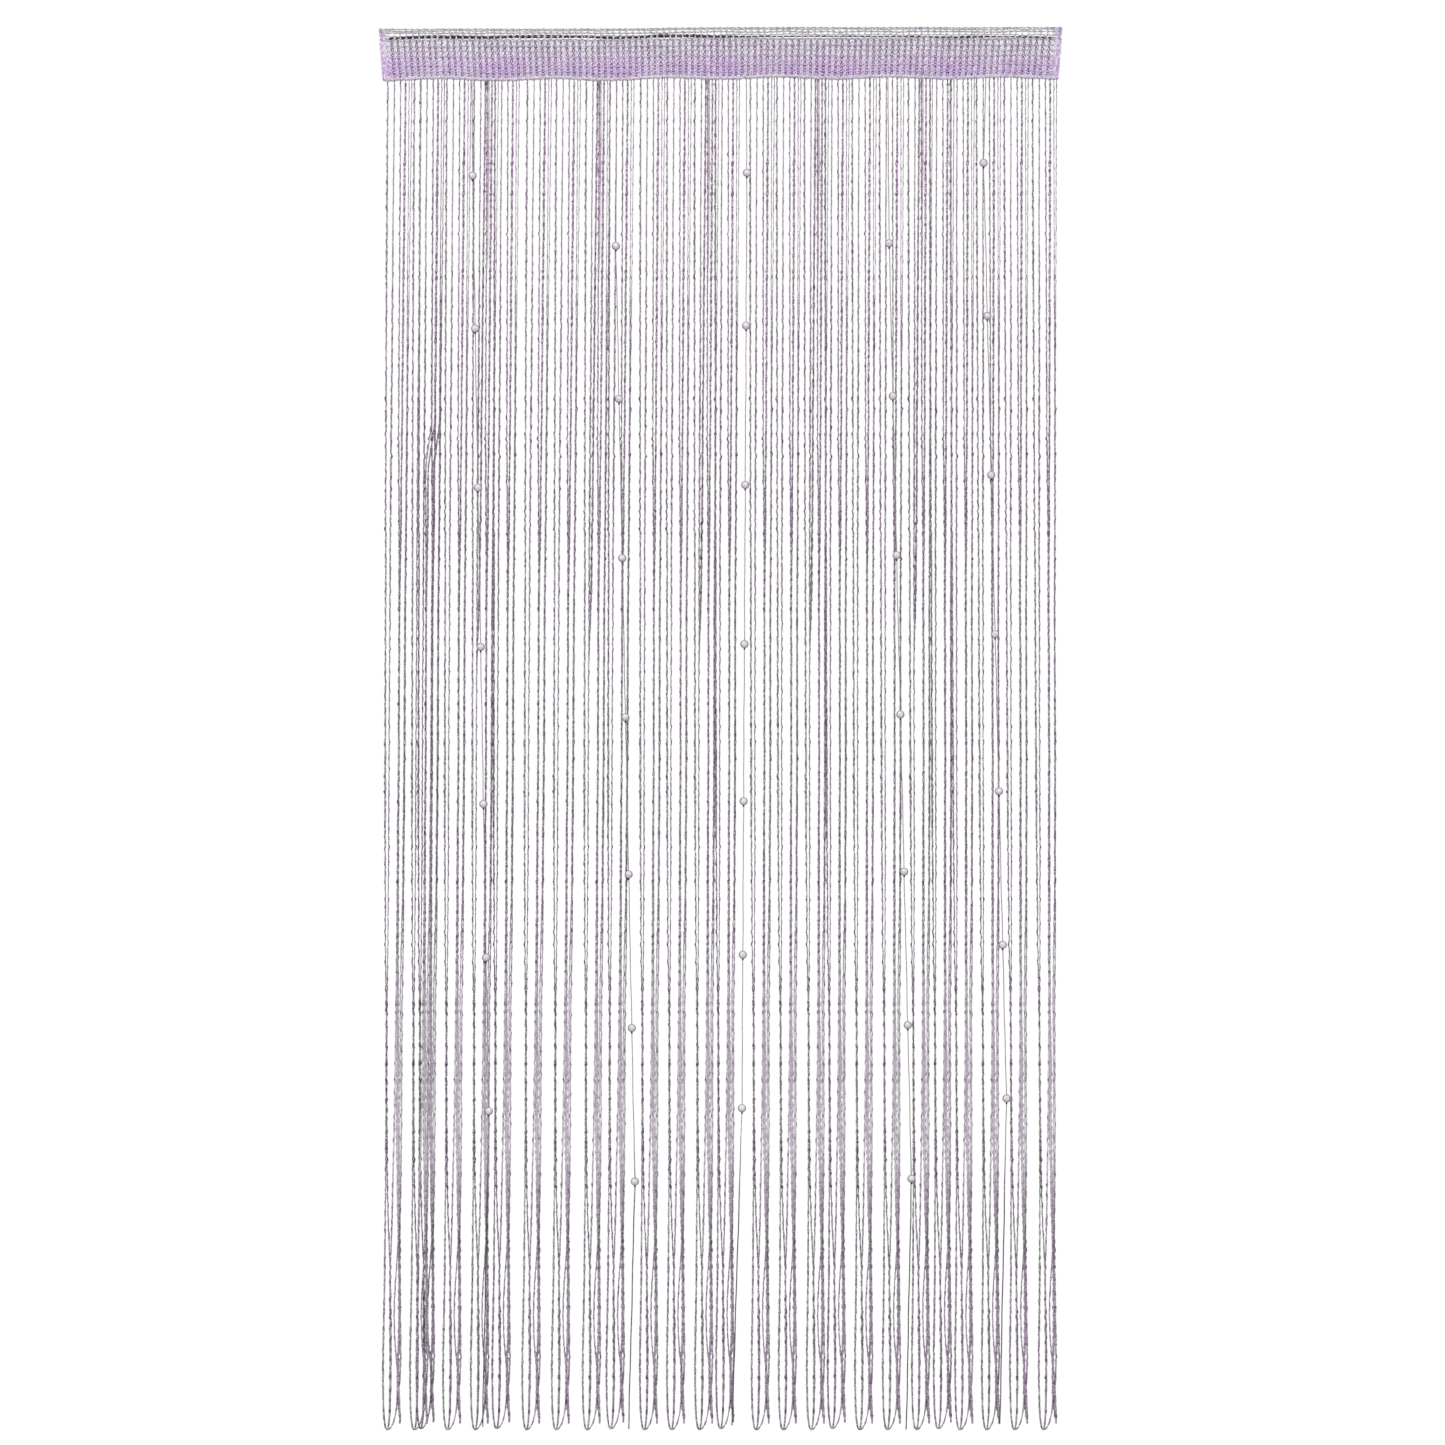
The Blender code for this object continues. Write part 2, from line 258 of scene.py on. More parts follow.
def yarn(name, pale, deep, purple, shadow=(0.045, 0.032, 0.05), glint=(0.92, 0.89, 0.94), flecks=0.5,
         glints=0.4, twist=700.0, fleck_scale=500.0, stretch=0.25, grooves=0.35, roughness=0.65):
    """A plied yarn in linear colours. pale and deep are the dye's clouds. The masks tone, fluff and knot
    lead on to purple, to fluff's colour and to shadow. The grooves and the dark flecks also mix towards
    shadow, as painted shade and painted dark reflections, and the glints towards glint, as a painted
    highlight over a filament that is really more metallic and smoother there."""
    made = bpy.data.materials.new(name)
    made.use_nodes = True
    tree = made.node_tree
    shader = tree.nodes["Principled BSDF"]
    ply = tree.nodes.new("ShaderNodeGroup")
    ply.node_tree = PLIED_YARN
    ply.inputs["Twist"].default_value = twist
    ply.inputs["Fleck scale"].default_value = fleck_scale
    ply.inputs["Stretch"].default_value = stretch
    fluff, tone, knot = (tree.nodes.new("ShaderNodeAttribute") for _ in range(3))
    fluff.attribute_name, tone.attribute_name, knot.attribute_name = "fluff", "tone", "knot"
    dyed = mixed(tree, ply.outputs["Cloud"], pale, deep)
    dyed = mixed(tree, tone.outputs["Fac"], dyed, purple)
    # Painted shade in the grooves between the plies, mixed towards the shadow colour
    dyed = mixed(tree, maths(tree, "MULTIPLY", ply.outputs["Ply"], grooves), dyed, shadow)
    # Painted dark reflections of the metallic filament, mixed towards the shadow colour
    dyed = mixed(tree, maths(tree, "MULTIPLY", ply.outputs["Dark"], flecks), dyed, shadow)
    dyed = mixed(tree, fluff.outputs["Fac"], dyed, FLUFF_COLOUR)
    dyed = mixed(tree, knot.outputs["Fac"], dyed, shadow)
    # Painted highlight where the filament glints, in the glint colour; its higher metallic and lower
    # roughness are real
    shine = maths(tree, "MULTIPLY", ply.outputs["Glint"], glints)
    dyed = mixed(tree, shine, dyed, glint)
    feed(tree.links, shader, "Base Color", dyed)
    feed(tree.links, shader, "Metallic", maths(tree, "MULTIPLY", shine, GLINT_METAL))
    feed(tree.links, shader, "Roughness", maths(tree, "MULTIPLY_ADD", shine, -GLINT_POLISH, roughness))
    bump = tree.nodes.new("ShaderNodeBump")
    bump.inputs["Strength"].default_value = 0.5
    bump.inputs["Distance"].default_value = GROOVE_DEPTH
    feed(tree.links, bump, "Height", maths(tree, "SUBTRACT", 1.0, ply.outputs["Ply"]))
    feed(tree.links, shader, "Normal", bump.outputs["Normal"])
    shader.inputs["Specular IOR Level"].default_value = 0.25
    shader.inputs["Sheen Weight"].default_value = 0.1
    shader.inputs["Sheen Roughness"].default_value = 0.4
    return made


# %% [markdown]
# ## Where the strings hang
#
# The curtain is knitted in groups of six strings, and the same six are found again and again. So the
# plan is three short tables: where each group ends at the bottom, how far its top leans from there, and
# how far the six strings stand from the group's line at a few heights. The groups crowd in some places,
# and there one group hangs behind the other. One group is tangled with its neighbour near the top.

# %% The plan of the strings
GROUP_TIPS = MM * np.array([
    -473, -434.5, -426, -387.5, -348, -318, -275, -233, -189, -155.5, -107.5, -69, -29,
    1, 51.5, 90, 130, 160, 198.5, 238, 279.5, 311, 341, 379, 419, 460,
])
# A group's tip and how far its top stands to the right of it, in mm
LEANS = (
    (-473, 9.1), (-318, 6.6), (-275, 9.8), (-233, 9.2), (-189, 7.6), (-155, 7.7), (-107, 3.2),
    (150, -1.7), (198, -1.8), (238, -2.4), (311, -3.7), (341, -5.0), (460, -7.1),
)
TOTAL_DROP = 2000 * MM
# Groups closer than this take turns in the back plane, this far behind the front one
CLOSE_GROUP, BACK_GROUP_OFFSET = 36 * MM, 8.2 * MM
# Depth of the middle of the rod pocket behind the front net, and the drop of the seam's lower edge
POCKET_MIDDLE, HEADING_HEIGHT = 3.6 * MM, 71 * MM
STRING_TOP = HEADING_HEIGHT - 1 * MM
# Length along the width and depth of the heading's folds, and how far its lower edge dips
FOLD_LENGTH, FOLD_DEPTH, DIP_DEPTH = 160 * MM, 0.8 * MM, 3.0 * MM
STRING_NAMES = ("knotty", "pale", "mauve", "purple", "fine", "last")
# Depth of each string in its group's plane, towards the viewer
LANES = MM * np.array([-6.2, -4.2, -6.2, -1.3, -6.2, -4.2])

# Columns: drop, then the place of each of the six strings, all in mm
STRING_PLACES = MM * np.array([
    (66, -9.0, 0.4, 9.2, 16.0, 21.0, 25.0),
    (115, -9.1, 0.2, 9.2, 15.9, 21.0, 24.8),
    (195, -9.2, -0.2, 9.2, 15.2, 20.8, 24.0),
    (275, -9.2, -0.8, 9.2, 15.0, 20.7, 23.5),
    (355, -9.2, -0.9, 9.2, 14.2, 20.4, 22.8),
    (435, -9.2, -1.2, 9.2, 14.0, 20.6, 22.0),
    (515, -9.0, -1.5, 9.0, 13.5, 20.3, 21.4),
    (595, -8.9, -2.0, 9.3, 13.0, 20.1, 21.2),
    (673, -9.0, -2.2, 10.0, 12.6, 19.8, 20.8),
    (755, -8.2, -2.5, 11.0, 11.4, 19.2, 20.2),
    (835, -8.2, -2.5, 10.9, 10.7, 18.6, 19.7),
    (915, -8.2, -2.8, 11.2, 10.9, 18.6, 19.8),
    (1075, -7.8, -2.8, 11.0, 10.8, 18.5, 19.6),
    (1155, -7.5, -2.8, 10.6, 10.4, 18.0, 19.1),
    (1235, -6.8, -3.0, 10.6, 10.3, 17.6, 18.8),
    (1315, -6.3, -3.4, 10.2, 10.3, 15.8, 18.5),
    (1395, -4.8, -4.2, 9.4, 10.6, 14.9, 17.3),
    (1475, -4.7, -4.1, 8.4, 11.5, 15.1, 17.3),
    (1555, -4.6, -4.0, 7.7, 10.9, 14.8, 17.4),
    (1635, -4.6, -2.8, 5.8, 12.2, 14.9, 16.9),
    (1700, -5.0, -1.0, 4.8, 13.2, 14.2, 15.6),
    (1740, -5.1, 1.0, 3.4, 14.4, 13.0, 15.8),
    (1782, -5.4, 2.4, 2.4, 15.0, 10.0, 16.2),
    (1811, -5.9, 3.0, 2.2, 14.9, 8.0, 16.4),
    (1868, -6.9, 3.8, 2.6, 14.9, 9.0, 17.3),
    (1925, -7.2, 3.5, 3.0, 12.4, 14.9, 17.2),
    (1953, -6.6, 3.0, 2.7, 13.8, 16.4, 12.5),
    (1990, -5.0, 1.0, 0.8, 17.0, 17.4, 3.0),
])
# Drop at which each string starts to turn into its loop. The purple and the fine one end free.
TURN_STARTS = MM * np.array([1952, 1952, 1952, 1986, 1986, 1947])
FREE_ENDS = (False, False, False, True, True, False)
LOOP_DROP, LOOP_PLACE, LOOP_LANE = 1995 * MM, -1.0 * MM, -5.2 * MM
FREE_END_DROP = 1986 * MM
# Strings leave the seam this far from its middle and reach their lanes over this length
ROOT_OFFSET, FORWARD_LENGTH = 1.3 * MM, 460 * MM
# One group's last four strings hang on its neighbour's down to this drop, then come away from them
TANGLED_GROUP, TANGLED_FROM = 1, 2
TANGLE_DROP, TANGLE_LENGTH = 555 * MM, 80 * MM


def group_behind():
    """For each group, whether it hangs in the back plane: close groups take turns."""
    behind = [False]
    for gap in np.diff(GROUP_TIPS):
        behind.append(bool(gap < CLOSE_GROUP and not behind[-1]))
    return np.array(behind)


BEHIND = group_behind()
LEAN = np.interp(GROUP_TIPS, *(MM * np.array(LEANS)).T)
print(len(GROUP_TIPS), "groups,", int(BEHIND.sum()), "of them in the back plane")


def heading_fold(x):
    """Depth of the heading's soft folds at a place along the width: a sine wave."""
    return FOLD_DEPTH * np.sin(2 * np.pi * x / FOLD_LENGTH)


def heading_dip(x):
    """How far the heading's bottom edge hangs below its highest places: a raised cosine."""
    return DIP_DEPTH * (0.5 + 0.5 * np.cos(2 * np.pi * x / FOLD_LENGTH))


# %% [markdown]
# ## The path of a string
#
# A string falls almost straight. It leans a little towards the middle of the curtain, comes forward
# out of the seam in its first half metre, and near the floor its end either turns round into a loop
# with its neighbours or hangs free. The loop is a quarter of an ellipse on each side, so two strings
# that meet at its lowest point run into each other without a corner.

# %% Paths of one string in every group
# The table's straight lines are averaged over so many steps of this length
SMOOTH_STEP, SMOOTH_WINDOW = 4 * MM, 9


def by_drop(drops, table):
    """A value along the drop from a short table of (drop in mm, value) pairs."""
    heights, values = zip(*table)
    return np.interp(drops, MM * np.array(heights), values)


def soft(share):
    """A smooth step: 3 s squared less 2 s cubed, of a share kept between 0 and 1."""
    share = np.clip(share, 0, 1)
    return share * share * (3 - 2 * share)


def smooth_places(string):
    """Sideways place of a string at evenly spaced drops: the table, joined by straight lines and then
    averaged twice over a few centimetres, which rounds its corners."""
    drops = np.arange(60 * MM, 2003 * MM, SMOOTH_STEP)
    places = np.interp(drops, STRING_PLACES[:, 0], STRING_PLACES[:, string + 1])
    window = np.ones(SMOOTH_WINDOW) / SMOOTH_WINDOW
    beyond = SMOOTH_WINDOW // 2
    for _ in range(2):
        padded = np.concatenate([np.full(beyond, places[0]), places, np.full(beyond, places[-1])])
        places = np.convolve(padded, window, mode="valid")
    return drops, places


def group_lines(drops):
    """Each group's own line at the drops, (groups, drops): its tip plus its lean, which fades out down
    to the tip."""
    return GROUP_TIPS[:, None] + LEAN[:, None] * (1 - drops / TOTAL_DROP)


def string_paths(string, drops, wander):
    """Paths of one string in every group, (groups, rings, 3). wander is the string's own small steps
    sideways and in depth at each ring.

    Down to the turn, x is the group's line plus the string's place. Past the turn a looped string
    follows a quarter of an ellipse into the loop's lowest point: x goes with 1 - cos and z with sin of
    an angle from 0 to 90 degrees.
    """
    turn = TURN_STARTS[string]
    x = group_lines(drops) + np.interp(drops, *smooth_places(string))
    if string >= TANGLED_FROM:
        aside = GROUP_TIPS[TANGLED_GROUP + 1] - GROUP_TIPS[TANGLED_GROUP]
        x[TANGLED_GROUP] += aside * (1 - soft((drops - TANGLE_DROP) / TANGLE_LENGTH))
    z = np.broadcast_to(-drops, x.shape).copy()
    planes = POCKET_MIDDLE + np.where(BEHIND, BACK_GROUP_OFFSET, 0.0)[:, None]
    roots = POCKET_MIDDLE + heading_fold(x[:, :1]) + np.where(BEHIND, ROOT_OFFSET, -ROOT_OFFSET)[:, None]
    y = roots + (planes + LANES[string] - roots) * soft((drops - HEADING_HEIGHT) / FORWARD_LENGTH)
    if not FREE_ENDS[string]:
        share = np.clip((drops - turn) / (LOOP_DROP - turn), 0, 1)
        start = x[:, np.searchsorted(drops, turn)][:, None]
        lowest = GROUP_TIPS[:, None] + LOOP_PLACE
        turned = start + (lowest - start) * (1 - np.cos(share * np.pi / 2))
        x = np.where(drops > turn, turned, x)
        z = np.where(drops > turn, -turn - (LOOP_DROP - turn) * np.sin(share * np.pi / 2), z)
        y = y + (planes + LOOP_LANE - y) * share**2
    path = np.stack([x, y, z], axis=-1)
    path[..., :2] += wander
    return path


# %% [markdown]
# ## Yarns with knots
#
# Seen close, a string is not a smooth wire. It has small dark knots where its loops were pulled tight,
# and between them the yarn is thin and soft. The rings stand at even distances. We draw the distances
# between knots, and each knot takes the ring nearest to it, is dark and thick there, and stands out to
# its string's own side. All groups share these draws, as they do on the real curtain, where each group
# of six is knitted by the same needles.

# %% Knotted strings
# For each string: the side its knots stand out to, how many there are, how uneven their distances are,
# their radius in mm, and tables by drop of the yarn's radius in mm, of how strong the knots are, and of
# how purple the yarn is
STRING_KINDS = {
    "knotty": {
        "side": -1, "knots": 105, "uneven": 1.3, "knot": 1.25,
        "radius": ((70, 1.05), (200, 1.33), (330, 1.43), (420, 1.15), (560, 1.25), (980, 1.28), (1080, 1.6),
                   (1200, 1.1), (1300, 0.9), (1480, 1.05), (1640, 0.95), (1740, 1.25), (1880, 1.4),
                   (1998, 1.2)),
        "knotted": ((70, 1.0), (1450, 1.0), (1600, 0.45), (1975, 0.4), (1985, 1.0), (1998, 1.0)),
        "tone": ((70, 0.25), (1000, 0.1), (1400, 0.4), (1500, 0.1), (1998, 0.0)),
    },
    "pale": {
        "side": 1, "knots": 98, "uneven": 1.3, "knot": 1.2,
        "radius": ((70, 0.95), (240, 0.9), (340, 1.12), (420, 1.38), (660, 1.36), (800, 1.12), (900, 0.89),
                   (1100, 0.95), (1200, 0.87), (1300, 0.58), (1355, 0.72), (1435, 1.08), (1520, 1.3),
                   (1700, 1.0), (1860, 1.05), (1940, 1.6), (1998, 1.1)),
        "knotted": ((70, 0.25), (300, 0.3), (420, 1.0), (1998, 0.9)),
        "tone": ((70, 0.3), (400, 0.6), (700, 0.6), (900, 0.15), (1998, 0.2)),
    },
    "mauve": {
        "side": -1, "knots": 110, "uneven": 1.2, "knot": 1.3,
        "radius": ((70, 0.9), (320, 0.97), (560, 1.08), (660, 1.15), (760, 1.3), (1250, 1.35), (1400, 1.3),
                   (1600, 1.15), (1998, 1.1)),
        "knotted": ((70, 0.9), (1998, 1.0)),
        "tone": ((70, 0.6), (700, 0.6), (1000, 0.3), (1400, 0.5), (1600, 0.1), (1998, 0.1)),
    },
    "fine": {
        "side": 1, "knots": 84, "uneven": 1.5, "knot": 1.15,
        "radius": ((70, 0.58), (330, 0.54), (400, 0.88), (620, 1.02), (700, 0.98), (950, 0.86), (1100, 1.05),
                   (1250, 0.95), (1400, 1.05), (1600, 1.05), (1700, 0.85), (1880, 1.05), (1991, 1.5)),
        "knotted": ((70, 0.4), (500, 0.8), (1998, 0.8)),
        "tone": ((70, 0.7), (400, 0.6), (900, 0.3), (1500, 0.5), (1750, 0.3), (1900, 0.9), (1998, 0.9)),
    },
    "last": {
        "side": 1, "knots": 84, "uneven": 1.5, "knot": 1.25,
        "radius": ((70, 0.6), (300, 0.54), (500, 0.6), (800, 0.72), (900, 0.68), (1100, 0.9), (1260, 0.85),
                   (1400, 0.95), (1600, 0.95), (1700, 1.1), (1900, 1.3), (1998, 0.9)),
        "knotted": ((70, 0.5), (600, 0.8), (1998, 0.8)),
        "tone": ((70, 0.3), (600, 0.3), (1000, 0.1), (1500, 0.4), (1800, 0.7), (1998, 0.1)),
    },
}
RING_STEP = 3.55 * MM
# Share of its table's width that a string has, by drop
SLIMNESS = ((70, 0.93), (400, 0.9), (1150, 0.93), (1300, 1.0))
THIN_SHARE, PURPLE_SHARE = 1.14, 1.08
# Spread and limits of the widths, and the spread of the widths between groups
UNEVEN, UNEVEN_LIMITS, GROUP_UNEVEN = 0.14, (0.6, 1.4), 0.08
WEAKEST_KNOT, NEIGHBOUR_SHARE, KNOT_DARKNESS = 0.45, 0.25, 0.95
# How far a ring strays, how much more a knot's does, and how far a knot stands to its side
STRAY, KNOT_STRAY, KNOT_ASIDE = 0.14 * MM, 0.2 * MM, 0.75 * MM
# Past this drop, near the loops, strings stray this share as far
CALM_DROP, CALM_SHARE = 1950 * MM, 0.2
# How far an uneven ring turns from one ring to the next
RING_TURN = 0.9


def knot_rings(random, kind, start, end):
    """Drops of the rings along a string, and how knotted each is.

    Distances between knots are 1 plus an even random share, scaled to fill start to end. The ring next
    to a knot's centre takes its whole strength, and the two beside it a quarter.
    """
    drops = np.linspace(start, end, int((end - start) / RING_STEP))
    gaps = 1 + kind["uneven"] * (random.random(kind["knots"]) - 0.5)
    centres = start + (end - start) * (np.cumsum(gaps) - gaps / 2) / gaps.sum()
    strength = WEAKEST_KNOT + (1 - WEAKEST_KNOT) * random.random(len(centres))
    strength *= by_drop(centres, kind["knotted"])
    ring = np.clip(np.round((centres - start) / (drops[1] - drops[0])).astype(int), 1, len(drops) - 2)
    knotted = np.zeros(len(drops))
    np.maximum.at(knotted, ring, strength)
    np.maximum.at(knotted, ring - 1, strength * NEIGHBOUR_SHARE)
    np.maximum.at(knotted, ring + 1, strength * NEIGHBOUR_SHARE)
    return drops, knotted


def uneven_widths(random, drops, radius_table, share):
    """A string's radius at each ring: its table times a share, made uneven by a normal draw."""
    table = by_drop(drops, radius_table) * by_drop(drops, SLIMNESS)
    return share * table * random.normal(1, UNEVEN, len(drops)).clip(*UNEVEN_LIMITS)


def masks_for(shape, **by_ring):
    """Masks given for each ring, spread over all threads and sides of (threads, sides)."""
    spread = np.ones((shape[0], 1, shape[1]))
    return {mask: values[None, :, None] * spread for mask, values in by_ring.items()}


def knotted_strings(name, material):
    """The same thin string in all groups, as one piece."""
    string, kind = STRING_NAMES.index(name), STRING_KINDS[name]
    random = np.random.default_rng(40 + string)
    end = FREE_END_DROP if FREE_ENDS[string] else LOOP_DROP
    drops, knotted = knot_rings(random, kind, STRING_TOP, end)
    wander = random.normal(0, 1, (len(drops), 2)) * (STRAY + KNOT_STRAY * knotted[:, None])
    wander[:, 0] += kind["side"] * KNOT_ASIDE * knotted
    wander[drops > CALM_DROP] *= CALM_SHARE
    paths = string_paths(string, drops, wander[None])
    thin = uneven_widths(random, drops, kind["radius"], THIN_SHARE)
    own = np.random.default_rng(80 + string).normal(1, GROUP_UNEVEN, (len(GROUP_TIPS), len(drops)))
    widths = np.maximum(thin, thin + (kind["knot"] - thin) * knotted) * own * MM
    turns = np.cumsum(np.full(paths.shape[:2], RING_TURN), axis=1)
    tubes = tube_arrays(paths, widths, 3, turns, oval=0.1)
    tone, fluff = by_drop(drops, kind["tone"]), by_drop(drops, FLUFFY) * (name in FLUFFY_STRINGS)
    masks = masks_for((len(GROUP_TIPS), 3), tone=tone, knot=KNOT_DARKNESS * knotted, fluff=fluff)
    return thread_piece(f"strings_{name}", tubes, material, "string_yarn", **masks)


GREY_YARN = yarn("grey_yarn", (0.55, 0.51, 0.56), (0.40, 0.34, 0.42), (0.45, 0.33, 0.48))
PALE_YARN = yarn("pale_yarn", (0.58, 0.54, 0.60), (0.42, 0.36, 0.44), (0.47, 0.33, 0.49))
MAUVE_YARN = yarn("mauve_yarn", (0.54, 0.46, 0.54), (0.38, 0.29, 0.39), (0.45, 0.30, 0.48))
# Share of pale fluff by drop, for the strings of the wide band above the loops
FLUFFY = ((1230, 0.0), (1400, 0.6), (1600, 0.65), (1700, 0.1), (1998, 0.1))
FLUFFY_STRINGS = ("mauve", "fine", "last")
YARN_OF = {
    "knotty": GREY_YARN, "pale": PALE_YARN, "mauve": MAUVE_YARN, "fine": MAUVE_YARN, "last": PALE_YARN,
}
thin_strings = [knotted_strings(name, finish) for name, finish in YARN_OF.items()]

# %% [markdown]
# ## The purple yarn
#
# One string of the six is thick and soft, two plies twisted together. Its ring is an oval that makes
# half a turn every centimetre or so, which needs a ring every few millimetres. It swells and turns
# purple at the same heights in every group, and ends free in a frayed tip.

# %% Purple strings
# By drop in mm: radius in mm, and the shares of purple and of fluff
PURPLE_RADIUS = (
    (70, 1.3), (165, 1.4), (185, 1.7), (225, 1.75), (245, 1.6), (400, 1.55), (520, 1.4), (640, 1.25),
    (760, 1.55), (900, 1.15), (1000, 1.25), (1200, 1.5), (1300, 1.85), (1400, 1.6), (1475, 2.1),
    (1560, 2.3), (1620, 1.8), (1680, 1.8), (1790, 1.7), (1830, 1.4), (1890, 1.65), (1930, 1.7), (1986, 1.5),
)
PURPLE_TONE = (
    (70, 0.2), (120, 0.4), (150, 1.0), (200, 1.0), (280, 0.8), (330, 0.55), (520, 0.55), (620, 0.7),
    (720, 0.35), (1000, 0.1), (1150, 0.3), (1300, 0.6), (1560, 0.2), (1640, 0.6), (1800, 0.7),
    (1960, 0.8), (1990, 0.3),
)
PURPLE_FLUFF = ((1230, 0.0), (1400, 0.65), (1600, 0.7), (1680, 0.3), (1990, 0.25))
# Distance between rings, how far each may move along, and the length of half a turn of the twist
PURPLE_STEP, STEP_JITTER, TWIST_PITCH = 2.8 * MM, 0.4 * MM, 11 * MM
# Each ring strays this far from the last, less the mean over so many rings
PURPLE_STRAY, STRAY_WINDOW = 0.09 * MM, 31
FRAYED_TIP = np.array([0.95, 0.8, 0.45])


def purple_strings(name, groups, material):
    """The thick string of some groups: an oval, turning tube with uneven width."""
    random = np.random.default_rng(61)
    drops = np.arange(STRING_TOP, FREE_END_DROP, PURPLE_STEP)
    drops += random.uniform(-STEP_JITTER, STEP_JITTER, len(drops))
    wander = np.cumsum(random.normal(0, PURPLE_STRAY, (len(drops), 2)), axis=0)
    window = np.ones(STRAY_WINDOW) / STRAY_WINDOW
    wander -= np.stack([np.convolve(w, window, mode="same") for w in wander.T], axis=1)
    paths = string_paths(STRING_NAMES.index("purple"), drops, wander[None])[groups]
    widths = uneven_widths(random, drops, PURPLE_RADIUS, PURPLE_SHARE) * MM
    widths[-len(FRAYED_TIP):] *= FRAYED_TIP
    widths = np.broadcast_to(widths, paths.shape[:2])
    turns = np.broadcast_to(np.pi * drops / TWIST_PITCH, paths.shape[:2])
    tubes = tube_arrays(paths, widths, 5, turns, oval=0.24)
    masks = masks_for((len(paths), 5), tone=by_drop(drops, PURPLE_TONE), fluff=by_drop(drops, PURPLE_FLUFF))
    return thread_piece(name, tubes, material, "string_yarn", **masks)


PURPLE_YARN = yarn("purple_yarn", (0.58, 0.50, 0.59), (0.40, 0.32, 0.42), (0.48, 0.29, 0.52),
                   twist=480.0, grooves=0.4, flecks=0.6, glints=0.55)
half_of_groups = len(GROUP_TIPS) // 2
purple_left = purple_strings("strings_purple_left", slice(0, half_of_groups), PURPLE_YARN)
purple_right = purple_strings("strings_purple_right", slice(half_of_groups, None), PURPLE_YARN)

# %% [markdown]
# ## Seventh strings
#
# At each place but one where two groups crowd, a thin purple string falls between the second and the
# third, and tucks in behind the second string before it is half way down. Beside it, a flat, pale and
# fuzzy band fills the gap up to the group's own purple yarn, and runs out a third of a metre down.

# %% Seventh strings
# The front groups with another one crowding behind, but for the first, which is tangled instead
CROWDED = np.flatnonzero(BEHIND)[1:] - 1
# A seventh string's lane, how far it stands from the purple one's path, and how much more low down
SEVENTH_LANE, SEVENTH_ASIDE, SEVENTH_DRIFT, DRIFT_DROP = 1.6 * MM, 9.4 * MM, 1.2 * MM, 600 * MM
SEVENTH_TUCK, SEVENTH_END = 790 * MM, 930 * MM
SEVENTH_STRAY, SEVENTH_UNEVEN = 0.25 * MM, 0.16
# Share of rings that are knots, their darkness, and the drops between which they set in
SEVENTH_KNOTS, SEVENTH_DARKNESS, KNOTS_FROM, KNOTS_LENGTH = 0.14, 0.8, 180 * MM, 80 * MM
SEVENTH_RADIUS = ((70, 1.15), (150, 1.2), (180, 1.4), (230, 1.3), (600, 1.3), (800, 1.4), (930, 0.5))
SEVENTH_FLUFF = ((70, 0.0), (180, 0.1), (600, 0.05))
SEVENTH_TONE = ((70, 0.8), (200, 1.0), (400, 0.7), (900, 0.4))
BAND_PLACE, BAND_STEP, BAND_UNEVEN = 10.6 * MM, 3 * MM, 0.1
BAND_RADIUS = ((70, 1.6), (130, 1.75), (205, 1.6), (235, 0.9), (300, 0.8), (345, 0.4))
BAND_TONE = ((70, 0.0), (140, 0.05), (175, 0.45), (240, 0.5), (345, 0.5))
SOFT_YARN = yarn("soft_yarn", (0.96, 0.84, 0.92), (0.92, 0.76, 0.88), (0.70, 0.46, 0.70), flecks=0.3,
                 glints=0.5, grooves=0.0)


def crowded_path(drops, place):
    """Straight down beside the line of each crowded group, at a place that depends on the drop."""
    x = group_lines(drops)[CROWDED] + place
    y = np.full(x.shape, POCKET_MIDDLE + SEVENTH_LANE)
    return np.stack([x, y, np.broadcast_to(-drops, x.shape)], axis=-1)


def seventh_strings():
    """A string beside the purple one's path that slides over to the second string's path, the share
    moved being a smooth step of the drop."""
    random = np.random.default_rng(71)
    drops = np.arange(STRING_TOP, SEVENTH_END, RING_STEP)
    purple = np.interp(drops, *smooth_places(STRING_NAMES.index("purple")))
    second = np.interp(drops, *smooth_places(STRING_NAMES.index("pale")))
    beside = purple - SEVENTH_ASIDE - SEVENTH_DRIFT * soft(drops / DRIFT_DROP)
    moved = soft((drops - SEVENTH_TUCK) / (SEVENTH_END - SEVENTH_TUCK))
    place = beside * (1 - moved) + second * moved + random.normal(0, SEVENTH_STRAY, len(drops))
    path = crowded_path(drops, place)
    widths = by_drop(drops, SEVENTH_RADIUS) * MM * random.normal(1, SEVENTH_UNEVEN, path.shape[:2])
    turns = np.cumsum(np.full(path.shape[:2], RING_TURN), axis=1)
    tubes = tube_arrays(path, widths, 4, turns, oval=0.15)
    knotted = random.random(len(drops)) > 1 - SEVENTH_KNOTS
    knot = SEVENTH_DARKNESS * knotted * soft((drops - KNOTS_FROM) / KNOTS_LENGTH)
    tone, fluff = by_drop(drops, SEVENTH_TONE), by_drop(drops, SEVENTH_FLUFF)
    masks = masks_for((len(path), 4), tone=tone, fluff=fluff, knot=knot)
    return thread_piece("strings_seventh", tubes, MAUVE_YARN, "string_yarn", **masks)


def soft_bands():
    """A flat tube beside each seventh string: at a constant quarter turn of an oval ring, 1 + oval wide
    and 1 - oval deep."""
    random = np.random.default_rng(71)
    drops = np.arange(STRING_TOP, BAND_RADIUS[-1][0] * MM, BAND_STEP)
    path = crowded_path(drops, BAND_PLACE)
    widths = by_drop(drops, BAND_RADIUS) * MM * random.normal(1, BAND_UNEVEN, path.shape[:2])
    tubes = tube_arrays(path, widths, 6, np.full(path.shape[:2], np.pi / 2), oval=0.5)
    masks = masks_for((len(path), 6), tone=by_drop(drops, BAND_TONE))
    return thread_piece("soft_bands", tubes, SOFT_YARN, "string_yarn", **masks)


sevenths = seventh_strings()
bands = soft_bands()

